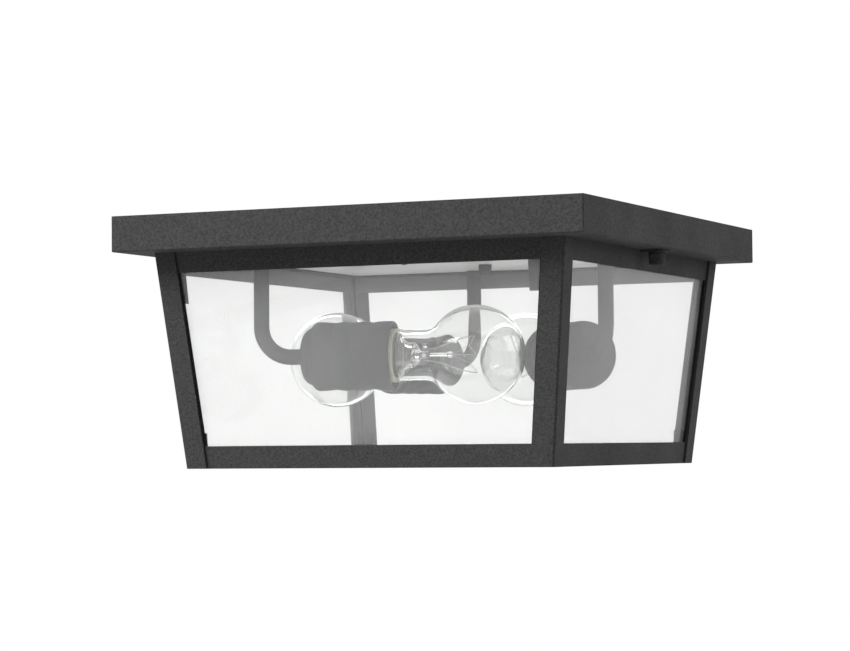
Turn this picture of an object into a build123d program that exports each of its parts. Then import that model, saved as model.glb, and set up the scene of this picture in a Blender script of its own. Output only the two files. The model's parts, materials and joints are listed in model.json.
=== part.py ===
from build123d import *
import os
from math import acos, cos, degrees, radians, sin

# Outdoor flush mount light: a square canopy that sits against the ceiling, and under it a tapered
# glass cage round three lamps. Millimetres, +Z up. The origin is the middle of the ceiling plane.

# Canopy pan
canopy_width = 304.8
canopy_height = 21.7
canopy_sheet = 1.2
canopy_edge_radius = 0.8

# Mounting crossbar, its box screw slots and its two studs
crossbar_length = 178.0
crossbar_width = 19.0
crossbar_thickness = 2.5
box_screw_spacing = 88.9
box_slot_width = 4.6
box_slot_length = 14.0
stud_spacing = 124.0
stud_diameter = 4.2
stud_tail = 5.0
cap_nut_across = 8.0
cap_nut_skirt = 3.2
ground_screw_diameter = 4.0
ground_screw_length = 8.0
ground_screw_head = 9.0
ground_screw_head_height = 3.0
ground_screw_offset = 20.0

# White reflector under the canopy
reflector_sheet = 0.8
reflector_gap = 1.0

# Cage of angle posts and rails
canopy_overhang = 18.6
cage_height = 130.7
cage_lean = 13.9
post_leg = 14.0
post_sheet = 1.5
post_bend_radius = 1.5
rail_sheet = 1.5
top_rail_depth = 12.4
top_flange_width = 8.0
bottom_rail_depth = 13.5
ledge_width = 13.0

# Glass
pane_thickness = 3.0
pane_corner_gap = 1.0
pane_top_gap = 0.5
bottom_pane_thickness = 3.0
bottom_pane_gap = 0.5

# Sheet clips that hold the side panes to the rails
clip_sheet = 0.8
clip_width = 5.0
clip_tuck = 1.5
clip_rise = 8.0
top_clip_width = 13.0
top_clip_show = 11.5
top_clip_fall = 17.6

# Rubber strips that bed the upright edges of the side panes against the posts
gasket_show = 1.0

# Thumb screws that hold the cage up to the canopy
thumb_offset = 8.2
ear_width = 12.0
ear_sheet = 1.5
thumb_thread = 4.8
thumb_washer_diameter = 10.4
thumb_washer_sheet = 0.8
thumb_knob_top = 10.8
thumb_knob_tip = 9.4
thumb_knob_height = 7.2
thumb_knob_edge = 0.6
thumb_knob_flutes = 18
thumb_flute_depth = 0.35
weld_nut_across = 8.0
weld_nut_height = 4.0

# Lamp arms, bent from tube
lamp_count = 3
lamp_turn = 225.3
lamp_drop = 63.1
arm_diameter = 9.5
arm_wall = 1.2
arm_bend_radius = 18.5
arm_glass_clearance = 1.0
arm_tail = 7.0
arm_engagement = 6.0
lock_nut_across = 14.0
lock_nut_height = 4.0

# Lamp sockets, measured along the lamp axis from the arm
cup_setback = 27.0
cup_diameter = 42.0
cup_wall = 1.0
cup_dome_length = 6.5
cup_dome_diameter = 35.0
cup_shoulder_length = 14.0
cup_ring_count = 2
cup_ring_pitch = 11.6
cup_ring_depth = 0.8
cup_mouth_length = 12.8
cup_mouth_radius = 1.2
insulator_stand = 1.5
insulator_nose_diameter = 32.8
insulator_arm_depth = 8.0
insulator_mouth_clearance = 0.7
shell_sheet = 0.4
socket_contact_diameter = 9.0
socket_contact_height = 2.4

# Bulbs
bulb_diameter = 60.0
bulb_length = 103.5
bulb_seat_depth = 23.5
bulb_neck_diameter = 30.5
bulb_flare_radius = 11.0
bulb_wall = 1.0
bulb_tail_length = 4.0
cap_diameter = 26.0
cap_length = 25.0
cap_wall = 0.5
cap_thread_pitch = 3.63
cap_thread_depth = 0.7
cap_thread_turns = 4
cap_base_length = 5.0
cap_button_diameter = 9.5
cap_button_height = 1.5
stem_foot_length = 1.5
stem_length = 15.5
stem_diameter = 8.0
filament_wire = 0.5
filament_reach = 30.0
filament_width = 21.0
filament_points = 5
filament_swing = 3.0

# Fits
thread_clearance = 0.3
fixed_clearance = 0.1
running_clearance = 0.3

# Levels and widths that follow from the sizes above
underside = -canopy_height
cage_base = underside - cage_height
canopy_half = canopy_width / 2
cage_half = canopy_half - canopy_overhang
pane_inset = post_sheet + rail_sheet
pane_back = pane_inset + pane_thickness
ledge_top = cage_base + rail_sheet
axis_level = underside - lamp_drop
thumb_radius = thumb_thread / 2
thumb_circle = cage_half - post_sheet + thumb_offset
arm_radius = arm_diameter / 2
stud_radius = stud_diameter / 2
cup_radius = cup_diameter / 2

side_turns = {"right": 0, "back": 90, "left": 180, "front": 270}
corner_turns = {"back_right": 0, "back_left": 90, "front_left": 180, "front_right": 270}
ear_turns = {"right": 0, "left": 180}
top_clip_sides = ("right", "left", "front")
lamp_numbers = range(1, lamp_count + 1)


def face_at(level):
    """Half width of the cage over the posts at a height."""
    return cage_half - cage_lean * (underside - level) / cage_height


# Stations along a lamp axis, counted from the arm
cup_step = cup_setback + cup_dome_length
cup_ring_start = cup_step + cup_shoulder_length
cup_ring_end = cup_ring_start + cup_ring_count * cup_ring_pitch
cup_mouth = cup_ring_end + cup_mouth_length
cup_floor = cup_setback + cup_wall
bulb_base = cup_mouth - bulb_seat_depth
bulb_tip = bulb_base + bulb_length
cap_top = bulb_base + cap_length
shell_floor = bulb_base - running_clearance - socket_contact_height
bulb_radius = bulb_diameter / 2
neck_radius = bulb_neck_diameter / 2
cap_radius = cap_diameter / 2
shell_bore = cap_radius + thread_clearance
shell_radius = shell_bore + shell_sheet
globe_center = bulb_tip - bulb_radius
flare_turn = degrees(acos((neck_radius + bulb_flare_radius) / (bulb_radius + bulb_flare_radius)))
flare_start = globe_center - (bulb_radius + bulb_flare_radius) * sin(radians(flare_turn))
tail_radius = cap_radius - cap_thread_depth - cap_wall - fixed_clearance

os.makedirs("parts", exist_ok=True)


def keep(piece, name):
    """Label a finished piece and write it as its own file."""
    piece.part.label = name
    export_step(piece.part, f"parts/{name}.step")


def upright(turn, origin=(0, 0, 0)):
    """Vertical plane: x runs along a plan direction, y runs up."""
    along = Vector(1, 0, 0).rotate(Axis.Z, turn)
    return Plane(origin=origin, x_dir=along, z_dir=along.cross(Vector(0, 0, 1)))


def around(turn, radius, sideways=0.0, level=0.0):
    """Point at a plan direction and radius, moved sideways to the left of that direction."""
    point = Vector(radius, sideways, level)
    return point.rotate(Axis.Z, turn)


def face_plane(turn, inset):
    """Sloping plane of one cage face, moved in by a level distance; its normal points out."""
    along = Vector(1, 0, 0).rotate(Axis.Z, turn)
    tilt = Vector(cage_height, 0, -cage_lean).rotate(Axis.Z, turn)
    return Plane(origin=along * (cage_half - inset) + Vector(0, 0, underside), z_dir=tilt)


def mitre_plane(turn):
    """Upright plane through one corner of the cage; its normal points away from the side."""
    return Plane(origin=(0, 0, 0), z_dir=Vector(0, 1, 0).rotate(Axis.Z, turn))


def leaning_bar(low, high, outer, inner):
    """Corners of a strip along the cage face, between two heights and two insets."""
    return [
        (face_at(low) - outer, low),
        (face_at(low) - inner, low),
        (face_at(high) - inner, high),
        (face_at(high) - outer, high),
    ]


# The lamps stand in a pinwheel: every arm is as near to the panes as its clearance allows.
# The panes lean in, so an arm is nearest to its pane about where its bend starts.
pane_room = face_at(axis_level) - pane_back
bend_room = face_at(axis_level + arm_bend_radius) - pane_back
arm_turns = [lamp_turn + 360 / lamp_count * place for place in range(lamp_count)]
arm_spread = max(max(abs(cos(radians(turn))), abs(sin(radians(turn)))) for turn in arm_turns)
arm_circle = (bend_room - arm_radius - arm_glass_clearance) / arm_spread


def globe_gaps(swing):
    """Gaps from a globe to the panes and to the next lamp's cup, for one swing of the lamp axes."""
    globes = []
    for turn in arm_turns:
        globes.append(around(turn, arm_circle) + around(turn + 180 - swing, globe_center))
    reach = max(max(abs(globe.X), abs(globe.Y)) for globe in globes)
    next_arm = around(arm_turns[1], arm_circle)
    next_axis = around(arm_turns[1] + 180 - swing, 1)
    to_axis = (globes[0] - next_arm).cross(next_axis).length
    return pane_room - bulb_radius - reach, to_axis - bulb_radius - cup_radius


# The axes swing off the middle until each globe is as far from the panes as from the next cup.
swing_low = 0.0
swing_high = 90.0
for halving in range(40):
    axis_swing = (swing_low + swing_high) / 2
    to_panes, to_cup = globe_gaps(axis_swing)
    if to_panes > to_cup:
        swing_low = axis_swing
    else:
        swing_high = axis_swing


def lamp_place(number):
    """Plan direction of a lamp axis, and the point where it meets the arm."""
    turn = arm_turns[number - 1]
    direction = turn + 180 - axis_swing
    return direction, around(turn, arm_circle, level=axis_level)


def lamp_plane(number):
    """Upright plane through a lamp axis: x runs along the axis from the arm."""
    direction, origin = lamp_place(number)
    return upright(direction, origin)


def lamp_axis(number):
    direction, origin = lamp_place(number)
    return Axis(origin, Vector(1, 0, 0).rotate(Axis.Z, direction))


arm_points = [around(turn, arm_circle) for turn in arm_turns]
thumb_points = [around(turn, thumb_circle) for turn in ear_turns.values()]
stud_points = [Vector(0, side * stud_spacing / 2, 0) for side in (-1, 1)]


def spots(points):
    """Plan points as places in a sketch."""
    return [(point.X, point.Y) for point in points]


# Canopy pan: folded from sheet, open to the ceiling
with BuildPart() as canopy_pan:
    with BuildSketch(Plane.XY.offset(underside)):
        Rectangle(canopy_width, canopy_width)
    extrude(amount=canopy_height)
    fillet(canopy_pan.edges().filter_by(Axis.Z), canopy_edge_radius)
    fillet(canopy_pan.faces().sort_by(Axis.Z)[0].edges(), canopy_edge_radius)
    with BuildSketch(Plane.XY.offset(underside + canopy_sheet)):
        Rectangle(canopy_width - 2 * canopy_sheet, canopy_width - 2 * canopy_sheet)
    extrude(amount=canopy_height, mode=Mode.SUBTRACT)
    with BuildSketch(Plane.XY.offset(underside)):
        with Locations(*spots(arm_points)):
            Circle(arm_radius + fixed_clearance)
        with Locations(*spots(stud_points)):
            Circle(stud_radius + running_clearance)
        with Locations(*spots(thumb_points)):
            Circle(thumb_radius + running_clearance)
    extrude(amount=canopy_sheet, mode=Mode.SUBTRACT)
keep(canopy_pan, "canopy_pan")

# White reflector: lies flat under the canopy, inside the top flange of the cage
reflector_half = cage_half - pane_inset - top_flange_width - reflector_gap
with BuildPart() as reflector_plate:
    with BuildSketch(Plane.XY.offset(underside - reflector_sheet)):
        Rectangle(2 * reflector_half, 2 * reflector_half)
        with Locations(*spots(arm_points)):
            Circle(arm_radius + fixed_clearance, mode=Mode.SUBTRACT)
        with Locations(*spots(stud_points)):
            Circle(stud_radius + running_clearance, mode=Mode.SUBTRACT)
    extrude(amount=reflector_sheet)
keep(reflector_plate, "reflector_plate")

# Crossbar that screws to the ceiling box; its slots run along the bar
with BuildPart() as crossbar:
    with BuildSketch(Plane.XY.offset(-crossbar_thickness)):
        SlotOverall(crossbar_length, crossbar_width, rotation=90)
        with Locations((0, -box_screw_spacing / 2), (0, box_screw_spacing / 2)):
            SlotOverall(box_slot_length, box_slot_width, rotation=90, mode=Mode.SUBTRACT)
        with Locations(*spots(stud_points)):
            Circle(stud_radius + fixed_clearance, mode=Mode.SUBTRACT)
        with Locations((0, -ground_screw_offset)):
            Circle(ground_screw_diameter / 2 + fixed_clearance, mode=Mode.SUBTRACT)
    extrude(amount=crossbar_thickness)
keep(crossbar, "crossbar")

# Studs pressed into the crossbar, which reach down through the canopy and the reflector
stud_foot = underside - reflector_sheet - stud_tail
with BuildPart() as crossbar_studs:
    with BuildSketch(Plane.XY.offset(stud_foot)):
        with Locations(*spots(stud_points)):
            Circle(stud_radius)
    extrude(amount=-stud_foot)
keep(crossbar_studs, "crossbar_studs")

# Domed cap nuts that pull the canopy up to the ceiling
cap_nut_top = underside - reflector_sheet
with BuildPart() as canopy_cap_nuts:
    for point in stud_points:
        with BuildSketch(Plane((point.X, point.Y, cap_nut_top - cap_nut_skirt))):
            RegularPolygon(cap_nut_across / 2, 6, major_radius=False)
        extrude(amount=cap_nut_skirt)
        with BuildSketch(upright(0, (point.X, point.Y, cap_nut_top - cap_nut_skirt))):
            with BuildLine():
                Line((0, 0), (cap_nut_across / 2, 0))
                RadiusArc((cap_nut_across / 2, 0), (0, -cap_nut_across / 2), cap_nut_across / 2)
                Line((0, -cap_nut_across / 2), (0, 0))
            make_face()
        revolve(axis=Axis((point.X, point.Y, 0), (0, 0, 1)))
    with BuildSketch(Plane.XY.offset(cap_nut_top)):
        with Locations(*spots(stud_points)):
            Circle(stud_radius + fixed_clearance)
    extrude(amount=-stud_tail - fixed_clearance, mode=Mode.SUBTRACT)
keep(canopy_cap_nuts, "canopy_cap_nuts")

# Ground screw on the crossbar
with BuildPart() as ground_screw:
    with BuildSketch(Plane((0, -ground_screw_offset, -ground_screw_length))):
        Circle(ground_screw_diameter / 2)
    extrude(amount=ground_screw_length)
    with BuildSketch(Plane((0, -ground_screw_offset, -crossbar_thickness))):
        RegularPolygon(ground_screw_head / 2, 6, major_radius=False)
    extrude(amount=-ground_screw_head_height)
keep(ground_screw, "ground_screw")

# Weld nuts on the canopy floor for the thumb screws
with BuildPart() as thumb_weld_nuts:
    for point in thumb_points:
        with BuildSketch(Plane((point.X, point.Y, underside + canopy_sheet))):
            RegularPolygon(weld_nut_across / 2, 6, major_radius=False)
            Circle(thumb_radius + running_clearance, mode=Mode.SUBTRACT)
        extrude(amount=weld_nut_height)
keep(thumb_weld_nuts, "thumb_weld_nuts")

# Corner posts: angle strips that wrap the corners of the cage
for corner, turn in corner_turns.items():
    with BuildPart() as post:
        with BuildSketch(Plane((0, 0, underside), x_dir=around(turn, 1))) as post_outline:
            with Locations((cage_half, cage_half)):
                Rectangle(post_leg, post_leg, align=(Align.MAX, Align.MAX))
            corner_point = post_outline.vertices().sort_by_distance((cage_half, cage_half))[0]
            fillet(corner_point, post_bend_radius)
            with Locations((cage_half - post_sheet, cage_half - post_sheet)):
                Rectangle(post_leg, post_leg, align=(Align.MAX, Align.MAX), mode=Mode.SUBTRACT)
        slant = Vector(-cage_lean, -cage_lean, -cage_height).rotate(Axis.Z, turn)
        extrude(amount=slant.length, dir=slant)
    keep(post, f"corner_post_{corner}")

# Rails: angle strips behind the posts, mitred at the corners
flange_low = underside - rail_sheet
for side, turn in side_turns.items():
    with BuildPart() as top_rail:
        with BuildSketch(upright(turn)):
            Polygon(*leaning_bar(underside - top_rail_depth, underside, post_sheet, pane_inset), align=None)
            Polygon(
                *leaning_bar(flange_low, underside, pane_inset, pane_inset + top_flange_width),
                align=None,
            )
        extrude(amount=canopy_half, both=True)
        split(bisect_by=mitre_plane(turn + 45), keep=Keep.BOTTOM)
        split(bisect_by=mitre_plane(turn + 135), keep=Keep.BOTTOM)
        if side in ear_turns:
            ear_start = face_at(flange_low) - pane_inset
            ear_length = thumb_circle + ear_width / 2 - ear_start
            with BuildSketch(Plane((0, 0, underside), x_dir=around(turn, 1))):
                with Locations((ear_start, 0)):
                    Rectangle(ear_length, ear_width, align=(Align.MIN, Align.CENTER))
            extrude(amount=-ear_sheet)
            with BuildSketch(Plane((0, 0, underside), x_dir=around(turn, 1))):
                with Locations((thumb_circle, 0)):
                    Circle(thumb_radius + running_clearance)
            extrude(amount=-ear_sheet, mode=Mode.SUBTRACT)
    keep(top_rail, f"top_rail_{side}")

    with BuildPart() as bottom_rail:
        with BuildSketch(upright(turn)):
            Polygon(
                *leaning_bar(cage_base, cage_base + bottom_rail_depth, post_sheet, pane_inset),
                align=None,
            )
            Polygon(*leaning_bar(cage_base, ledge_top, pane_inset, pane_inset + ledge_width), align=None)
        extrude(amount=canopy_half, both=True)
        split(bisect_by=mitre_plane(turn + 45), keep=Keep.BOTTOM)
        split(bisect_by=mitre_plane(turn + 135), keep=Keep.BOTTOM)
    keep(bottom_rail, f"bottom_rail_{side}")

    with BuildPart() as side_pane:
        with BuildSketch(upright(turn)):
            Polygon(*leaning_bar(ledge_top, flange_low - pane_top_gap, pane_inset, pane_back), align=None)
        extrude(amount=canopy_half, both=True)
        split(bisect_by=face_plane(turn + 90, pane_back + pane_corner_gap), keep=Keep.BOTTOM)
        split(bisect_by=face_plane(turn - 90, pane_back + pane_corner_gap), keep=Keep.BOTTOM)
    keep(side_pane, f"side_pane_{side}")

# Bottom pane: lies on the ledge of the bottom rails
bottom_pane_half = face_at(ledge_top) - pane_back - clip_sheet - bottom_pane_gap
with BuildPart() as bottom_pane:
    with BuildSketch(Plane.XY.offset(ledge_top)):
        Rectangle(2 * bottom_pane_half, 2 * bottom_pane_half)
    extrude(amount=bottom_pane_thickness)
keep(bottom_pane, "bottom_pane")

# Gaskets: in the gap that the rails leave between a post and its two panes
gasket_high = underside - top_rail_depth - fixed_clearance
gasket_low = cage_base + bottom_rail_depth + fixed_clearance
gasket_start = pane_back + pane_corner_gap
gasket_width = post_leg + gasket_show - gasket_start
with BuildPart() as pane_gaskets:
    for turn in corner_turns.values():
        corner = face_at(gasket_high)
        with BuildSketch(Plane((0, 0, gasket_high), x_dir=around(turn, 1))):
            with Locations((corner - post_sheet, corner - gasket_start)):
                Rectangle(rail_sheet, gasket_width, align=(Align.MAX, Align.MAX))
            with Locations((corner - gasket_start, corner - post_sheet)):
                Rectangle(gasket_width, rail_sheet, align=(Align.MAX, Align.MAX))
        slant = Vector(-cage_lean, -cage_lean, -cage_height).rotate(Axis.Z, turn)
        extrude(amount=slant.length * (gasket_high - gasket_low) / cage_height, dir=slant)
keep(pane_gaskets, "pane_gaskets")

# Clips: two stand on each ledge, and one hangs from the top flange at three of the sides
with BuildPart() as pane_clips:
    clip_edge = face_at(ledge_top) - post_leg + clip_tuck
    clip_top = cage_base + bottom_rail_depth + clip_rise
    top_clip_base = underside - top_rail_depth - top_clip_fall
    for side, turn in side_turns.items():
        for sideways in (clip_edge + clip_width, -clip_edge):
            with BuildSketch(upright(turn, around(turn, 0, sideways))):
                Polygon(*leaning_bar(ledge_top, clip_top, pane_back, pane_back + clip_sheet), align=None)
            extrude(amount=clip_width)
        if side in top_clip_sides:
            top_sideways = cage_half - post_leg - top_clip_show + top_clip_width
            with BuildSketch(upright(turn, around(turn, 0, top_sideways))):
                Polygon(
                    *leaning_bar(top_clip_base, flange_low, pane_back, pane_back + clip_sheet),
                    align=None,
                )
            extrude(amount=top_clip_width)
keep(pane_clips, "pane_clips")

# Thumb screws: a loose washer and a fluted knob with its thread
ear_low = underside - ear_sheet
washer_low = ear_low - thumb_washer_sheet
knob_low = washer_low - thumb_knob_height
thread_top = underside + canopy_sheet + weld_nut_height
for point, side in zip(thumb_points, ear_turns):
    with BuildPart() as thumb_washer:
        with BuildSketch(Plane((point.X, point.Y, washer_low))):
            Circle(thumb_washer_diameter / 2)
            Circle(thumb_radius + running_clearance, mode=Mode.SUBTRACT)
        extrude(amount=thumb_washer_sheet)
    keep(thumb_washer, f"thumb_washer_{side}")

    with BuildPart() as thumb_screw:
        with BuildSketch(upright(0, (point.X, point.Y, 0))):
            Polygon(
                (0, knob_low),
                (thumb_knob_tip / 2, knob_low),
                (thumb_knob_top / 2, washer_low),
                (thumb_radius, washer_low),
                (thumb_radius, thread_top),
                (0, thread_top),
                align=None,
            )
        revolve(axis=Axis((point.X, point.Y, 0), (0, 0, 1)))
        fillet(thumb_screw.faces().sort_by(Axis.Z)[0].edges(), thumb_knob_edge)
        with BuildSketch(Plane((point.X, point.Y, knob_low))):
            with PolarLocations(thumb_knob_top / 2, thumb_knob_flutes):
                Circle(thumb_flute_depth)
        extrude(amount=thumb_knob_height, mode=Mode.SUBTRACT)
    keep(thumb_screw, f"thumb_screw_{side}")

# Lock nuts that hold the arms to the canopy floor
with BuildPart() as arm_lock_nuts:
    for point in arm_points:
        with BuildSketch(Plane((point.X, point.Y, underside + canopy_sheet))):
            RegularPolygon(lock_nut_across / 2, 6, major_radius=False)
            Circle(arm_radius + fixed_clearance, mode=Mode.SUBTRACT)
        extrude(amount=lock_nut_height)
keep(arm_lock_nuts, "arm_lock_nuts")


def bulb_outline(inset):
    """Closed half outline of the glass, drawn in by an inset, from its tail to its tip."""
    tail = (cap_top - bulb_tail_length, tail_radius - inset)
    shoulder = (cap_top + bulb_tail_length / 2, neck_radius - inset)
    neck_end = (flare_start, neck_radius - inset)
    tip = (bulb_tip - inset, 0)
    with BuildLine() as outline:
        Line((tail[0], 0), tail)
        collar = Line(tail, (cap_top, tail[1]))
        slope = Line(collar @ 1, shoulder)
        neck = Line(slope @ 1, neck_end)
        flare = JernArc(neck @ 1, (1, 0), bulb_flare_radius + inset, flare_turn)
        JernArc(flare @ 1, flare % 1, bulb_radius - inset, -flare_turn - 90)
        Line(tip, (tail[0], 0))
    return outline.line


def filament_route():
    """Lead wire up from the stem, a zigzag filament, and the other lead wire back down."""
    low = cap_top + stem_length + fixed_clearance
    high = low + filament_reach
    step = filament_width / (filament_points + 1)
    lead = stem_diameter / 4
    points = [(low, -lead), (high, -filament_width / 2)]
    for place in range(1, filament_points + 1):
        swing = filament_swing if place % 2 else -filament_swing
        points.append((high + swing, -filament_width / 2 + place * step))
    points.append((high, filament_width / 2))
    points.append((low, lead))
    return points


for number in lamp_numbers:
    plane = lamp_plane(number)
    axis = lamp_axis(number)

    # Arm: a tube that comes down from the canopy and turns into the socket
    arm_end = cup_floor + arm_engagement
    arm_top = lamp_drop + canopy_sheet + arm_tail
    with BuildPart() as arm_tube:
        with BuildLine(plane) as arm_route:
            FilletPolyline((0, arm_top), (0, 0), (arm_end, 0), radius=arm_bend_radius)
        with BuildSketch(Plane(origin=arm_route.line @ 0, z_dir=arm_route.line % 0)):
            Circle(arm_radius)
            Circle(arm_radius - arm_wall, mode=Mode.SUBTRACT)
        sweep()
    keep(arm_tube, f"arm_tube_{number}")

    # Socket cup: a metal cup with a domed back, a round shoulder, rings and a plain mouth band
    dome_radius = cup_dome_diameter / 2
    dome_flat = dome_radius - cup_dome_length
    valley = cup_radius - cup_ring_depth
    cup_bore = valley - cup_wall
    with BuildPart() as socket_cup:
        with BuildSketch(plane):
            with BuildLine():
                back = Line((cup_setback, 0), (cup_setback, dome_flat))
                dome = JernArc(back @ 1, (0, 1), cup_dome_length, -90)
                shoulder = JernArc(dome @ 1, (0, 1), cup_radius - dome_radius, -90)
                TangentArc(shoulder @ 1, (cup_ring_start, valley), tangent=(1, 0))
                for ring in range(cup_ring_count):
                    start = cup_ring_start + ring * cup_ring_pitch
                    crest = (start + cup_ring_pitch / 2, cup_radius)
                    ThreePointArc((start, valley), crest, (start + cup_ring_pitch, valley))
                band = (cup_ring_end + cup_ring_pitch / 2, cup_radius)
                TangentArc(band, (cup_ring_end, valley), tangent=(-1, 0))
                Polyline(band, (cup_mouth, cup_radius), (cup_mouth, 0), (cup_setback, 0))
            make_face()
        revolve(axis=axis)
        fillet(socket_cup.edges().sort_by(axis)[-1], cup_mouth_radius)
        with BuildSketch(plane):
            Polygon(
                (cup_floor, 0),
                (cup_floor, dome_flat),
                (cup_step + cup_wall, dome_radius - cup_wall),
                (cup_ring_start, cup_bore),
                (cup_mouth, cup_bore),
                (cup_mouth, 0),
                align=None,
            )
        revolve(axis=axis, mode=Mode.SUBTRACT)
        with BuildSketch(plane):
            Polygon(
                (cup_setback, 0),
                (cup_setback, arm_radius + fixed_clearance),
                (cup_floor, arm_radius + fixed_clearance),
                (cup_floor, 0),
                align=None,
            )
        revolve(axis=axis, mode=Mode.SUBTRACT)
    keep(socket_cup, f"socket_cup_{number}")

    # Insulator: a stepped moulding in the cup, whose nose stands out of the mouth
    insulator_radius = cup_bore - fixed_clearance
    nose_radius = insulator_nose_diameter / 2
    insulator_front = cup_mouth + insulator_stand
    shell_front = insulator_front - running_clearance
    mouth_bore = shell_radius + insulator_mouth_clearance
    arm_bore = arm_radius + fixed_clearance
    arm_pocket = cup_floor + insulator_arm_depth
    with BuildPart() as socket_insulator:
        with BuildSketch(plane):
            Polygon(
                (cup_floor, arm_bore),
                (cup_floor, dome_flat - fixed_clearance),
                (cup_step + cup_wall, dome_radius - cup_wall - fixed_clearance),
                (cup_ring_start, insulator_radius),
                (cup_ring_end, insulator_radius),
                (cup_ring_end, nose_radius),
                (insulator_front, nose_radius),
                (insulator_front, mouth_bore),
                (shell_front, mouth_bore),
                (shell_front, shell_radius + fixed_clearance),
                (shell_floor, shell_radius + fixed_clearance),
                (shell_floor, 0),
                (arm_pocket, 0),
                (arm_pocket, arm_bore),
                align=None,
            )
        revolve(axis=axis)
    keep(socket_insulator, f"socket_insulator_{number}")

    # Screw shell: a thin metal cup that the bulb turns in
    with BuildPart() as screw_shell:
        with BuildSketch(plane):
            Polygon(
                (shell_floor, socket_contact_diameter / 2 + running_clearance),
                (shell_floor, shell_radius),
                (shell_front, shell_radius),
                (shell_front, shell_bore),
                (shell_floor + shell_sheet, shell_bore),
                (shell_floor + shell_sheet, socket_contact_diameter / 2 + running_clearance),
                align=None,
            )
        revolve(axis=axis)
    keep(screw_shell, f"screw_shell_{number}")

    # Bulb cap: a metal shell with its thread as rounded turns
    thread_start = bulb_base + cap_base_length
    root = cap_radius - cap_thread_depth
    with BuildPart() as bulb_cap:
        with BuildSketch(plane):
            with BuildLine():
                Line((thread_start, 0), (thread_start, root))
                for ring in range(cap_thread_turns):
                    start = thread_start + ring * cap_thread_pitch
                    crest = (start + cap_thread_pitch / 2, cap_radius)
                    ThreePointArc((start, root), crest, (start + cap_thread_pitch, root))
                Polyline(
                    (thread_start + cap_thread_turns * cap_thread_pitch, root),
                    (cap_top, root),
                    (cap_top, 0),
                    (thread_start, 0),
                )
            make_face()
        revolve(axis=axis)
        with BuildSketch(plane):
            Polygon(
                (thread_start, 0),
                (thread_start, root - cap_wall),
                (cap_top, root - cap_wall),
                (cap_top, 0),
                align=None,
            )
        revolve(axis=axis, mode=Mode.SUBTRACT)
    keep(bulb_cap, f"bulb_cap_{number}")

    # Bulb contact: a dark insulating base with a solder button
    with BuildPart() as bulb_contact:
        with BuildSketch(plane):
            Polygon(
                (bulb_base, 0),
                (bulb_base, cap_button_diameter / 2),
                (bulb_base + cap_button_height, cap_button_diameter / 2),
                (thread_start, root),
                (thread_start, 0),
                align=None,
            )
        revolve(axis=axis)
    keep(bulb_contact, f"bulb_contact_{number}")

    # Bulb glass: a thin envelope, open at its tail inside the cap
    with BuildPart() as bulb_glass:
        with BuildSketch(plane):
            add(bulb_outline(0))
            make_face()
        revolve(axis=axis)
        with BuildSketch(plane):
            add(bulb_outline(bulb_wall))
            make_face()
        revolve(axis=axis, mode=Mode.SUBTRACT)
    keep(bulb_glass, f"bulb_glass_{number}")

    # Stem: the glass mount that stands in the neck and carries the lead wires
    stem_foot = cap_top + bulb_tail_length / 2
    with BuildPart() as bulb_stem:
        with BuildSketch(plane):
            Polygon(
                (stem_foot, 0),
                (stem_foot, neck_radius - bulb_wall - fixed_clearance),
                (stem_foot + stem_foot_length, neck_radius - bulb_wall - fixed_clearance),
                (stem_foot + stem_foot_length + stem_diameter, stem_diameter / 2),
                (cap_top + stem_length, stem_diameter / 2),
                (cap_top + stem_length, 0),
                align=None,
            )
        revolve(axis=axis)
    keep(bulb_stem, f"bulb_stem_{number}")

    # Filament on its two lead wires
    with BuildPart() as bulb_filament:
        with BuildLine(plane) as wire_route:
            FilletPolyline(*filament_route(), radius=2 * filament_wire)
        with BuildSketch(Plane(origin=wire_route.line @ 0, z_dir=wire_route.line % 0)):
            Circle(filament_wire / 2)
        sweep()
    keep(bulb_filament, f"bulb_filament_{number}")

# Spring contacts at the bottom of the sockets
with BuildPart() as socket_contacts:
    for number in lamp_numbers:
        with BuildSketch(lamp_plane(number)):
            Polygon(
                (shell_floor, 0),
                (shell_floor, socket_contact_diameter / 2),
                (shell_floor + socket_contact_height / 2, socket_contact_diameter / 2),
                (shell_floor + socket_contact_height, socket_contact_diameter / 4),
                (shell_floor + socket_contact_height, 0),
                align=None,
            )
        revolve(axis=lamp_axis(number))
keep(socket_contacts, "socket_contacts")

print(f"arm circle {arm_circle:.2f}, axis swing {axis_swing:.2f}, cage base {cage_base:.2f}")
print(f"a globe clears the panes by {to_panes:.2f} and the next cup by {to_cup:.2f}")
for number in lamp_numbers:
    direction, origin = lamp_place(number)
    print(f"lamp {number}: arm ({origin.X:.2f}, {origin.Y:.2f}), direction {direction % 360:.3f}")
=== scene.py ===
import json
from math import acos, asin, ceil, cos, pi, radians, sin

import bmesh
import bpy
from mathutils import Matrix, Vector


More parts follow.
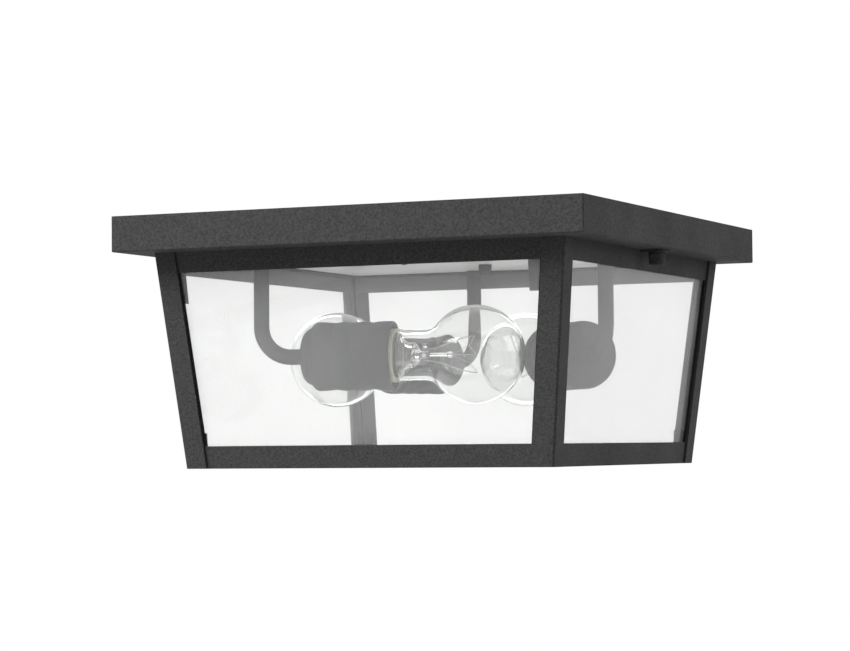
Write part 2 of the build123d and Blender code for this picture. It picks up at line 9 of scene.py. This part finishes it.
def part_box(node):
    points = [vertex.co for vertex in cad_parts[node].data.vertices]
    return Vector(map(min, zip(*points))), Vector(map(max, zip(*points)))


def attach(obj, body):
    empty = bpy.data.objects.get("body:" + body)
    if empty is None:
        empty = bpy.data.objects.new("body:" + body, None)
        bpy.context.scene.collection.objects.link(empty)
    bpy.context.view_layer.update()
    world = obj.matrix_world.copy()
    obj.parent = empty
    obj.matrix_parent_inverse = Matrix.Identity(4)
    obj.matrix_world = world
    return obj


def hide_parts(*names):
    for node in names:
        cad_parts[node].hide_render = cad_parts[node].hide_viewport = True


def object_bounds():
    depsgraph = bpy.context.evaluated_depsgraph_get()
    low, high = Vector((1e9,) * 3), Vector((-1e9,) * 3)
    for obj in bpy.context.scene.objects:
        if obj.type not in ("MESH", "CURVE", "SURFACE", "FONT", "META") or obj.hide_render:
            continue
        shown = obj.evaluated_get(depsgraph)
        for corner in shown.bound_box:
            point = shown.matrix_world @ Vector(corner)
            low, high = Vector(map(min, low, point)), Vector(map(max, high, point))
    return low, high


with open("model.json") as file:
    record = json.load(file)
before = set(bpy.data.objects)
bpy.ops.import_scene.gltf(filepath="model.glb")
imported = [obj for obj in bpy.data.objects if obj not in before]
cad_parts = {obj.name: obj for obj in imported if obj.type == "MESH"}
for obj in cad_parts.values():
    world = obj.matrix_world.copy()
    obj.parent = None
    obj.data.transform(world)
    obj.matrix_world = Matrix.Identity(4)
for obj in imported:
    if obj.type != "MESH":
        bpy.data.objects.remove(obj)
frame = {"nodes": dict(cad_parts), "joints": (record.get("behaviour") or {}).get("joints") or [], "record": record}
cad_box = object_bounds()
nodes = frame["nodes"]
joints = {joint["name"]: joint for joint in frame["joints"]}
scene = bpy.context.scene
scene.view_settings.view_transform = "Standard"

# Camera, as in the photograph
image_width_px = 850
focal_length_px = 2727.93
sensor_width_mm = 36.0
camera_place = Vector((0.70303, -1.56236, -0.13853))
camera_yaw = radians(24.6831)
camera_pitch = radians(2.4853)
camera_roll = radians(-0.5005)

# Studio: the object hangs at ceiling height above the floor, between soft boxes
floor_drop = 2.4
floor_width = 3.0
floor_grain = 1.5
ambient_strength = 0.3
soft_box_distance = 2.6
soft_box_width = 1.6

# Lamp arm, as in the frame's nodes
lamp_numbers = (1, 2, 3)
arm_radius = 0.00475

# Bulb glass
neck_radius = 0.01525
flare_radius = 0.011
glass_wall = 0.0007
tail_radius = 0.0117
tail_length = 0.004

# Glass stem in the neck of a bulb
stem_foot_radius = 0.0135
stem_foot_setback = 0.0025
stem_foot_turn = radians(198)
stem_tube_radius = 0.0075
stem_wall = 0.0009
press_start = 0.0109
press_end = 0.019
press_width = 0.0062
press_thickness = 0.0021
press_slope = 0.004
press_taper = 0.8
arbor_radius = 0.0013
arbor_end = 0.0325
arbor_button_radius = 0.0021

# Wires in a bulb
mount_turn = radians(18)
lead_radius = 0.00032
lead_sink = 0.003
lead_root_spread = 0.0032
lead_tip_spread = 0.0115
lead_tip = 0.0486
support_radius = 0.00016
filament_corner_count = 5
filament_dip = 0.0042
coil_radius = 0.00042
coil_pitch = 0.00075
coil_wire_radius = 0.00011

# Bulb cap
cap_thread_pitch = 0.00363
cap_thread_depth = 0.0007
cap_thread_length = 0.0145
cap_wall = 0.0005
solder_height = 0.0015
solder_radius = 0.00475
solder_seat = 0.0006

# Thumb screws
thumb_tip_radius = 0.0047
thumb_edge = 0.0006
thumb_dish_depth = 0.0008
thumb_dish_radius = 0.0022
thumb_rim_radius = 0.0034
thumb_flutes = 18
thumb_flute_depth = 0.00035
# Shares of the knob's height, each with the share of the full flute depth there
thumb_flute_stations = ((0.08, 0), (0.16, 1), (0.84, 1), (0.92, 0))
thumb_shank_radius = 0.0024
thumb_thread_pitch = 0.0008
thumb_thread_depth = 0.0003

# Middle range of a pattern, where most of its values lie
pattern_low = 0.3
pattern_high = 0.7

# Mesh fineness
fine_steps = 128
arc_steps = 12
globe_steps = 56
thread_steps = 12
thread_fade = 8
lead_steps = 12
coil_steps = 8
wire_sides = 10
coil_sides = 6
sharp_angle = radians(35)


def set_plain(surface, values):
    """Set plain values on the sockets of a shader, by socket names written as identifiers."""
    for name, value in values.items():
        socket = name.replace("_", " ").title().replace("Ior", "IOR")
        surface.inputs[socket].default_value = value


class Paint:
    """A material with one Principled shader, and the texture nodes that feed it."""

    def __init__(self, name, **plain):
        self.material = bpy.data.materials.new(name)
        self.material.use_nodes = True
        self.tree = self.material.node_tree
        self.surface = self.tree.nodes["Principled BSDF"]
        self.place = self.tree.nodes.new("ShaderNodeTexCoord").outputs["Object"]
        set_plain(self.surface, plain)

    def noise(self, grain, detail=2.0, roughness=0.5, stretch=(1, 1, 1)):
        """Cloudy pattern whose blobs are about a grain across, in metres."""
        mapping = self.tree.nodes.new("ShaderNodeMapping")
        mapping.inputs["Scale"].default_value = stretch
        texture = self.tree.nodes.new("ShaderNodeTexNoise")
        texture.inputs["Scale"].default_value = 1 / grain
        texture.inputs["Detail"].default_value = detail
        texture.inputs["Roughness"].default_value = roughness
        self.tree.links.new(self.place, mapping.inputs["Vector"])
        self.tree.links.new(mapping.outputs["Vector"], texture.inputs["Vector"])
        return texture.outputs["Fac"]

    def cells(self, grain):
        """Pebbled pattern whose cells are about a grain across, in metres."""
        texture = self.tree.nodes.new("ShaderNodeTexVoronoi")
        texture.feature = "SMOOTH_F1"
        texture.inputs["Scale"].default_value = 1 / grain
        self.tree.links.new(self.place, texture.inputs["Vector"])
        return texture.outputs["Distance"]

    def spread(self, pattern, socket, low, high):
        """Feed a socket with the middle range of a pattern, spread between two values."""
        node = self.tree.nodes.new("ShaderNodeMapRange")
        node.inputs["From Min"].default_value = pattern_low
        node.inputs["From Max"].default_value = pattern_high
        node.inputs["To Min"].default_value = low
        node.inputs["To Max"].default_value = high
        self.tree.links.new(pattern, node.inputs["Value"])
        self.tree.links.new(node.outputs["Result"], self.surface.inputs[socket])

    def shade(self, pattern, first, last):
        """Feed the colour with a pattern, between two stops of (position, colour)."""
        node = self.tree.nodes.new("ShaderNodeValToRGB")
        for element, (position, color) in zip(node.color_ramp.elements, (first, last)):
            element.position = position
            element.color = (*color, 1)
        self.tree.links.new(pattern, node.inputs["Fac"])
        self.tree.links.new(node.outputs["Color"], self.surface.inputs["Base Color"])

    def bump(self, pattern, depth, strength):
        """Raise the surface by a pattern, to a depth in metres."""
        node = self.tree.nodes.new("ShaderNodeBump")
        node.inputs["Strength"].default_value = strength
        node.inputs["Distance"].default_value = depth
        self.tree.links.new(pattern, node.inputs["Height"])
        self.tree.links.new(node.outputs["Normal"], self.surface.inputs["Normal"])


def black_coat():
    """Sand-textured black powder coat."""
    paint = Paint("black_coat", specular_ior_level=0.07)
    sand = paint.noise(0.0011, detail=3, roughness=0.65)
    clouds = paint.noise(0.05)
    paint.shade(sand, (0.3, (0.03, 0.03, 0.0305)), (0.72, (0.076, 0.076, 0.077)))
    paint.spread(clouds, "Roughness", 0.6, 0.75)
    paint.bump(sand, 0.0005, 0.6)
    return paint.material


def black_rubber():
    """Dull rubber of the pane gaskets."""
    paint = Paint("black_rubber", specular_ior_level=0.15)
    bloom = paint.noise(0.004, detail=4)
    paint.shade(bloom, (0.3, (0.008, 0.008, 0.008)), (0.7, (0.016, 0.016, 0.016)))
    paint.spread(bloom, "Roughness", 0.7, 0.85)
    paint.bump(paint.noise(0.0008), 0.0001, 0.3)
    return paint.material


def white_enamel():
    """White enamel of the reflector, with a faint orange peel."""
    paint = Paint("white_enamel")
    peel = paint.noise(0.0016)
    paint.shade(paint.noise(0.04), (0.3, (0.86, 0.86, 0.85)), (0.7, (0.92, 0.92, 0.91)))
    paint.spread(peel, "Roughness", 0.3, 0.45)
    paint.bump(peel, 0.0002, 0.3)
    return paint.material


def zinc_steel():
    """Galvanised steel with a soft spangle and drawn streaks."""
    paint = Paint("zinc_steel", metallic=1.0)
    spangle = paint.cells(0.004)
    streaks = paint.noise(0.0006, stretch=(1, 0.08, 1))
    paint.shade(spangle, (0.1, (0.5, 0.51, 0.52)), (0.6, (0.66, 0.665, 0.66)))
    paint.spread(streaks, "Roughness", 0.28, 0.5)
    paint.bump(streaks, 0.0001, 0.3)
    return paint.material


def ground_green():
    """Green dyed plating of the ground screw."""
    paint = Paint("ground_green", metallic=0.3)
    wear = paint.noise(0.0014, detail=4)
    paint.shade(wear, (0.35, (0.02, 0.15, 0.045)), (0.7, (0.05, 0.26, 0.09)))
    paint.spread(wear, "Roughness", 0.3, 0.5)
    paint.bump(wear, 0.0001, 0.4)
    return paint.material


def brass():
    """Brass with a light tarnish."""
    paint = Paint("brass", metallic=1.0)
    tarnish = paint.noise(0.006, detail=5)
    paint.shade(tarnish, (0.35, (0.5, 0.34, 0.13)), (0.65, (0.76, 0.58, 0.27)))
    paint.spread(tarnish, "Roughness", 0.42, 0.24)
    paint.bump(paint.noise(0.0008), 0.0001, 0.2)
    return paint.material


def socket_cream():
    """Cream glazed ceramic."""
    paint = Paint("socket_cream")
    clouds = paint.noise(0.008, detail=4)
    paint.shade(clouds, (0.3, (0.6, 0.55, 0.38)), (0.7, (0.72, 0.68, 0.52)))
    paint.spread(clouds, "Roughness", 0.28, 0.42)
    paint.bump(paint.noise(0.0012), 0.0001, 0.3)
    return paint.material


def pane_glass():
    """Clear flat glass with a white haze, partly dust and partly a painted reflection of the white surroundings.
    """
    paint = Paint("pane_glass", base_color=(0.995, 1, 0.995, 1), roughness=0.0, ior=1.15)
    # Painted reflection, partly dust: the diffuse white share of the glass, uneven in patches, gives the pale veil
    # that a reflection of the white surroundings would give, while the low index keeps the real reflection faint.
    dust = paint.noise(0.06, detail=6, roughness=0.6)
    paint.spread(dust, "Transmission Weight", 0.885, 0.92)
    paint.bump(paint.noise(0.12), 0.0002, 0.02)
    return paint.material


def bulb_glass():
    """Clear blown glass."""
    paint = Paint("bulb_glass", base_color=(0.99, 0.995, 0.99, 1), roughness=0.0, ior=1.5)
    dust = paint.noise(0.02, detail=5, roughness=0.6)
    paint.spread(dust, "Transmission Weight", 0.975, 0.995)
    paint.bump(paint.noise(0.03), 0.0002, 0.03)
    return paint.material


def bulb_metal():
    """Rolled aluminium of a bulb cap."""
    paint = Paint("bulb_metal", metallic=1.0)
    rub = paint.noise(0.002, detail=4)
    paint.shade(rub, (0.3, (0.6, 0.59, 0.57)), (0.7, (0.78, 0.77, 0.75)))
    paint.spread(rub, "Roughness", 0.45, 0.28)
    paint.bump(rub, 0.00005, 0.3)
    return paint.material


def bulb_base():
    """Dark glass insulator of a bulb cap."""
    paint = Paint("bulb_base")
    swirl = paint.noise(0.003, detail=3)
    paint.shade(swirl, (0.3, (0.012, 0.011, 0.014)), (0.7, (0.03, 0.027, 0.034)))
    paint.spread(swirl, "Roughness", 0.12, 0.3)
    paint.bump(swirl, 0.0001, 0.3)
    return paint.material


def filament_wire():
    """Drawn grey metal of the wires in a bulb."""
    paint = Paint("filament_wire", metallic=1.0)
    draw = paint.noise(0.0005, detail=3)
    paint.shade(draw, (0.3, (0.34, 0.33, 0.31)), (0.7, (0.52, 0.51, 0.49)))
    paint.spread(draw, "Roughness", 0.4, 0.25)
    return paint.material


paint_makers = (
    black_coat,
    black_rubber,
    white_enamel,
    zinc_steel,
    ground_green,
    brass,
    socket_cream,
    pane_glass,
    bulb_glass,
    bulb_metal,
    bulb_base,
    filament_wire,
)
paints = {maker.__name__: maker() for maker in paint_makers}


def paint_nodes():
    """Give every CAD node the material of its slot."""
    for subpart in frame["record"]["subparts"]:
        node = nodes[subpart["node"]]
        node.data.materials.clear()
        node.data.materials.append(paints[subpart["material_slot"]])


# Rings of points round the x axis, which a skin joins into a surface


def oval(along, wide, thick):
    """Ring with a half width and a half thickness."""
    turns = [2 * pi * step / fine_steps for step in range(fine_steps)]
    return [Vector((along, wide * cos(turn), thick * sin(turn))) for turn in turns]


def circle(along, radius):
    """Ring of one radius, or its centre alone where the radius is nothing."""
    if radius == 0:
        return [Vector((along, 0, 0))]
    return oval(along, radius, radius)


def wavy_ring(along, root, rise):
    """Ring whose radius is a root plus a rise, which is a function of the turn."""
    ring = []
    for step in range(fine_steps):
        turn = 2 * pi * step / fine_steps
        radius = root + rise(turn)
        ring.append(Vector((along, radius * cos(turn), radius * sin(turn))))
    return ring


def thread_rings(start, end, root, depth, pitch):
    """Rings along a rounded helical thread, which fades in and out at its ends."""
    rings = []
    steps = ceil((end - start) / pitch) * thread_steps
    for step in range(steps + 1):
        share = step / steps
        along = start + (end - start) * share
        height = depth * min(1, thread_fade * share, thread_fade * (1 - share))
        phase = 2 * pi * along / pitch
        rings.append(wavy_ring(along, root, lambda turn: height * (0.5 - 0.5 * cos(phase - turn))))
    return rings


def circles(outline):
    """Rings for the points of a half outline."""
    return [circle(along, radius) for along, radius in outline]


def skin(form, rings, place, closed=False):
    """Join rings into a surface. A ring of one point is a pole."""
    loops = [[form.verts.new(place @ point) for point in ring] for ring in rings]
    followers = loops[1:] + loops[:1] if closed else loops[1:]
    for first, second in zip(loops, followers):
        steps = max(len(first), len(second))
        if steps == 1:
            continue
        for step in range(steps):
            after = (step + 1) % steps
            corners = [first[step % len(first)], first[after % len(first)]]
            corners += [second[after % len(second)], second[step % len(second)]]
            form.faces.new(list(dict.fromkeys(corners)))


def wire(form, points, radius, place, sides=wire_sides):
    """Round wire along points, with closed ends."""
    rings = []
    side = None
    for index, point in enumerate(points):
        before = points[max(index - 1, 0)]
        after = points[min(index + 1, len(points) - 1)]
        ahead = (after - before).normalized()
        if side is None:
            side = ahead.orthogonal()
        side = (side - ahead * side.dot(ahead)).normalized()
        other = ahead.cross(side)
        turns = [2 * pi * step / sides for step in range(sides)]
        rings.append([point + radius * (side * cos(turn) + other * sin(turn)) for turn in turns])
    skin(form, [[points[0]], *rings, [points[-1]]], place)


def arc(middle, radius, start, end, steps=arc_steps):
    """Outline points on an arc, its angles in radians from the lamp axis."""
    turns = [start + (end - start) * step / steps for step in range(steps + 1)]
    return [(middle[0] + radius * cos(turn), middle[1] + radius * sin(turn)) for turn in turns]


def add_piece(name, form, body, slot, *stands_for):
    """Finish a form as a smooth piece that rides on a body and stands for CAD nodes."""
    bmesh.ops.recalc_face_normals(form, faces=form.faces)
    mesh = bpy.data.meshes.new(name)
    form.to_mesh(mesh)
    form.free()
    mesh.shade_smooth()
    mesh.set_sharp_from_angle(angle=sharp_angle)
    mesh.materials.append(paints[slot])
    piece = bpy.data.objects.new(name, mesh)
    scene.collection.objects.link(piece)
    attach(piece, body)
    if stands_for:
        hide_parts(*stands_for)


# Lamps: each has its own place, whose x axis runs along the lamp from the arm


def lamp_place(number):
    """Place of a lamp: on the upright axis of its arm, level with its bulb, with x along the bulb."""
    axis = Vector(joints[f"bulb_unscrew_{number}"]["axis"]).normalized()
    low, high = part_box(f"arm_tube_{number}")
    glass_low, glass_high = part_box(f"bulb_glass_{number}")
    arm_x = low.x + arm_radius if axis.x > 0 else high.x - arm_radius
    arm_y = low.y + arm_radius if axis.y > 0 else high.y - arm_radius
    side = Vector((0, 0, 1)).cross(axis)
    place = Matrix((axis, side, (0, 0, 1))).transposed().to_4x4()
    place.translation = (arm_x, arm_y, (glass_low.z + glass_high.z) / 2)
    return place


def reach(node, place):
    """How far a node reaches along a lamp: its first and last point from the arm."""
    back = place.inverted()
    along = [(back @ vertex.co).x for vertex in nodes[node].data.vertices]
    return min(along), max(along)


# Sizes of a bulb, taken from the nodes of the first lamp
first_lamp = lamp_place(1)
bulb_base_end, thread_start = reach("bulb_contact_1", first_lamp)
cap_top = reach("bulb_cap_1", first_lamp)[1]
bulb_tip = reach("bulb_glass_1", first_lamp)[1]
cap_low, cap_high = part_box("bulb_cap_1")
globe_low, globe_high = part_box("bulb_glass_1")
cap_radius = (cap_high.z - cap_low.z) / 2
globe_radius = (globe_high.z - globe_low.z) / 2
globe_center = bulb_tip - globe_radius


def glass_outline(inset):
    """Half outline of the envelope from its tail to its tip, drawn in by an inset."""
    turn = acos((neck_radius + flare_radius) / (globe_radius + flare_radius))
    flare_start = globe_center - (globe_radius + flare_radius) * sin(turn)
    flare_middle = (flare_start, neck_radius + flare_radius)
    outline = [(cap_top - tail_length, tail_radius - inset), (cap_top, tail_radius - inset)]
    outline.append((cap_top + tail_length / 2, neck_radius - inset))
    outline += arc(flare_middle, flare_radius + inset, -pi / 2, turn - pi / 2)
    outline += arc((globe_center, 0), globe_radius - inset, pi / 2 + turn, 0, globe_steps)[1:-1]
    outline.append((bulb_tip - inset, 0))
    return outline


def add_glass(number, place):
    """Envelope of a bulb: an outer and an inner surface, joined at the tail."""
    form = bmesh.new()
    outside = circles(glass_outline(0))
    inside = circles(glass_outline(glass_wall))
    skin(form, outside + inside[::-1], place, closed=True)
    add_piece(f"bulb_envelope_{number}", form, f"bulb_{number}", "bulb_glass", f"bulb_glass_{number}")


def add_stem(number, place):
    """Glass mount: a flared tube that is pinched flat at the press, then a rod with a button."""
    bend = stem_foot_radius - stem_tube_radius
    flare_middle = (cap_top + stem_foot_setback + bend, stem_foot_radius)
    pinch = cap_top + press_start
    press = cap_top + press_end
    button = cap_top + arbor_end
    neck_turn = pi - asin(arbor_radius / arbor_button_radius)
    outside = circles(arc(flare_middle, bend, pi, 1.5 * pi))
    outside.append(circle(pinch, stem_tube_radius))
    outside.append(oval(pinch + press_slope, press_width, press_thickness))
    outside.append(oval(press, press_width, press_thickness))
    press_tip = (press_width * press_taper, press_thickness * press_taper)
    outside.append(oval(press + press_slope / 4, *press_tip))
    outside.append(circle(press + press_slope / 2, arbor_radius))
    outside += circles(arc((button, 0), arbor_button_radius, neck_turn, 0)[:-1])
    outside.append(circle(button + arbor_button_radius, 0))
    inside = [circle(pinch, 0), circle(pinch - stem_wall, stem_tube_radius - stem_wall)]
    inside += circles(arc(flare_middle, bend + stem_wall, 1.5 * pi, stem_foot_turn))
    form = bmesh.new()
    skin(form, outside + inside, place, closed=True)
    add_piece(f"bulb_mount_{number}", form, f"bulb_{number}", "bulb_glass", f"bulb_stem_{number}")


def lead_points(side):
    """Lead wire from the press to its end of the filament."""
    root = cap_top + press_end - lead_sink
    tip = cap_top + lead_tip
    points = []
    for step in range(lead_steps + 1):
        share = step / lead_steps
        ease = share * share * (3 - 2 * share)
        spread = lead_root_spread + (lead_tip_spread - lead_root_spread) * ease
        points.append(Vector((root + (tip - root) * share, 0, side * spread)))
    return points


def filament_corners():
    """Corners of the filament between the two lead wires."""
    tip = cap_top + lead_tip
    step = 2 * lead_tip_spread / (filament_corner_count - 1)
    corners = []
    for place in range(filament_corner_count):
        dip = filament_dip if place % 2 else 0
        corners.append(Vector((tip - dip, 0, lead_tip_spread - place * step)))
    return corners


def coil(corners):
    """Helix that follows straight runs between corners."""
    points = []
    turn = 0.0
    side = Vector((0, 1, 0))
    for start, end in zip(corners, corners[1:]):
        run = end - start
        other = run.normalized().cross(side)
        count = ceil(run.length / coil_pitch) * coil_steps
        for step in range(count):
            middle = start + run * step / count
            points.append(middle + coil_radius * (side * cos(turn) + other * sin(turn)))
            turn += 2 * pi / coil_steps
    return points


def add_wires(number, place):
    """Lead wires, support wires and the coiled filament of a bulb."""
    turned = place @ Matrix.Rotation(mount_turn, 4, "X")
    form = bmesh.new()
    for side in (-1, 1):
        wire(form, lead_points(side), lead_radius, turned)
    corners = filament_corners()
    button = Vector((cap_top + arbor_end + arbor_button_radius / 2, 0, 0))
    for corner in corners[1:-1]:
        wire(form, [button, (button + corner) / 2, corner], support_radius, turned)
    add_piece(f"bulb_wires_{number}", form, f"bulb_{number}", "filament_wire", f"bulb_filament_{number}")
    form = bmesh.new()
    wire(form, coil(corners), coil_wire_radius, turned, coil_sides)
    add_piece(f"bulb_coil_{number}", form, f"bulb_{number}", "filament_wire")


def add_cap(number, place):
    """Rolled screw cap of a bulb with a helical thread, its insulator and its solder button."""
    body = f"bulb_{number}"
    root = cap_radius - cap_thread_depth
    thread_end = thread_start + cap_thread_length
    rings = [circle(thread_start, root - cap_wall)]
    rings += thread_rings(thread_start, thread_end, root, cap_thread_depth, cap_thread_pitch)
    rings += [circle(cap_top, root), circle(cap_top, root - cap_wall)]
    form = bmesh.new()
    skin(form, rings, place, closed=True)
    add_piece(f"bulb_thread_{number}", form, body, "bulb_metal", f"bulb_cap_{number}")

    seat = bulb_base_end + solder_height
    seat_radius = solder_radius + solder_seat
    outline = [(seat, 0), (seat, seat_radius), (seat + solder_seat, seat_radius + solder_seat)]
    outline += [(thread_start, root), (thread_start, 0)]
    form = bmesh.new()
    skin(form, circles(outline), place)
    add_piece(f"bulb_insulator_{number}", form, body, "bulb_base", f"bulb_contact_{number}")

    dome_radius = (solder_radius ** 2 + solder_height ** 2) / (2 * solder_height)
    dome_turn = pi - asin(solder_radius / dome_radius)
    dome = [(bulb_base_end, 0)]
    dome += arc((bulb_base_end + dome_radius, 0), dome_radius, pi, dome_turn)[1:]
    dome.append((seat, 0))
    form = bmesh.new()
    skin(form, circles(dome), place)
    add_piece(f"bulb_button_{number}", form, body, "bulb_metal")


def add_lamps():
    """All the pieces of the three bulbs."""
    for number in lamp_numbers:
        place = lamp_place(number)
        add_glass(number, place)
        add_stem(number, place)
        add_wires(number, place)
        add_cap(number, place)


def add_thumb_screw(side):
    """Fluted knob with its thread, which hangs under the overhang of the canopy."""
    name = f"thumb_screw_{side}"
    low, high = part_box(name)
    length = high.z - low.z
    knob_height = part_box(f"thumb_washer_{side}")[0].z - low.z
    knob_radius = (high.x - low.x) / 2
    rings = [circle(thumb_dish_depth, 0), circle(thumb_dish_depth, thumb_dish_radius)]
    rings += [circle(0, thumb_rim_radius), circle(0, thumb_tip_radius - thumb_edge)]
    for share, cut in thumb_flute_stations:
        radius = thumb_tip_radius + (knob_radius - thumb_tip_radius) * share
        depth = thumb_flute_depth * cut
        rings.append(wavy_ring(
            knob_height * share,
            radius,
            lambda turn: -depth * (0.5 + 0.5 * cos(thumb_flutes * turn)) ** 2,
        ))
    rings += [circle(knob_height, knob_radius - thumb_edge)]
    thread_root = thumb_shank_radius - thumb_thread_depth
    rings += thread_rings(knob_height, length, thread_root, thumb_thread_depth, thumb_thread_pitch)
    rings.append(circle(length, 0))
    place = Matrix.Translation(((low.x + high.x) / 2, (low.y + high.y) / 2, low.z))
    form = bmesh.new()
    skin(form, rings, place @ Matrix.Rotation(-pi / 2, 4, "Y"))
    add_piece(f"thumb_knob_{side}", form, name, "black_coat", name)


def add_floor():
    """Plain pale floor, far below the object."""
    form = bmesh.new()
    bmesh.ops.create_grid(form, x_segments=1, y_segments=1, size=floor_width / 2)
    mesh = bpy.data.meshes.new("floor")
    form.to_mesh(mesh)
    form.free()
    paint = Paint("floor_paint", roughness=0.9)
    paint.shade(paint.noise(floor_grain), (0.3, (0.8, 0.8, 0.8)), (0.7, (0.84, 0.84, 0.84)))
    mesh.materials.append(paint.material)
    floor = bpy.data.objects.new("floor", mesh)
    floor.location = (0, 0, -floor_drop)
    scene.collection.objects.link(floor)


def add_world():
    """White to the eye, in reflections and through glass; softer as a light on the object."""
    world = bpy.data.worlds.new("studio")
    scene.world = world
    world.use_nodes = True
    tree = world.node_tree
    background = tree.nodes["Background"]
    background.inputs["Color"].default_value = (1, 1, 1, 1)
    path = tree.nodes.new("ShaderNodeLightPath")
    seen = path.outputs["Is Camera Ray"]
    for ray in ("Is Glossy Ray", "Is Transmission Ray"):
        either = tree.nodes.new("ShaderNodeMath")
        either.operation = "MAXIMUM"
        tree.links.new(seen, either.inputs[0])
        tree.links.new(path.outputs[ray], either.inputs[1])
        seen = either.outputs["Value"]
    strength = tree.nodes.new("ShaderNodeMapRange")
    strength.inputs["To Min"].default_value = ambient_strength
    tree.links.new(seen, strength.inputs["Value"])
    tree.links.new(strength.outputs["Result"], background.inputs["Strength"])


def add_soft_box(name, azimuth, elevation, power):
    """Soft box that looks at the middle of the object; azimuth 0 is in front, 90 to the right."""
    low, high = cad_box
    middle = (low + high) / 2
    turn = radians(azimuth)
    rise = radians(elevation)
    away = Vector((sin(turn) * cos(rise), -cos(turn) * cos(rise), sin(rise)))
    lamp = bpy.data.lights.new(name, "AREA")
    lamp.shape = "SQUARE"
    lamp.size = soft_box_width
    lamp.energy = power
    light = bpy.data.objects.new(name, lamp)
    light.location = middle + away * soft_box_distance
    light.rotation_euler = away.to_track_quat("Z", "Y").to_euler()
    scene.collection.objects.link(light)


def add_camera():
    """Camera that sees the object as the photograph does."""
    lens = bpy.data.cameras.new("camera")
    lens.sensor_fit = "HORIZONTAL"
    lens.sensor_width = sensor_width_mm
    lens.lens = sensor_width_mm * focal_length_px / image_width_px
    camera = bpy.data.objects.new("camera", lens)
    turn = Matrix.Rotation(camera_yaw, 4, "Z")
    tilt = Matrix.Rotation(pi / 2 + camera_pitch, 4, "X")
    roll = Matrix.Rotation(camera_roll, 4, "Z")
    camera.matrix_world = Matrix.Translation(camera_place) @ turn @ tilt @ roll
    scene.collection.objects.link(camera)
    scene.camera = camera


paint_nodes()
add_lamps()
for side in ("left", "right"):
    add_thumb_screw(side)
add_floor()
add_world()
add_soft_box("key", azimuth=-42, elevation=40, power=100)
add_soft_box("side", azimuth=118, elevation=22, power=22)
add_soft_box("back", azimuth=-155, elevation=25, power=55)
add_soft_box("fill", azimuth=-20, elevation=-45, power=12)
add_camera()
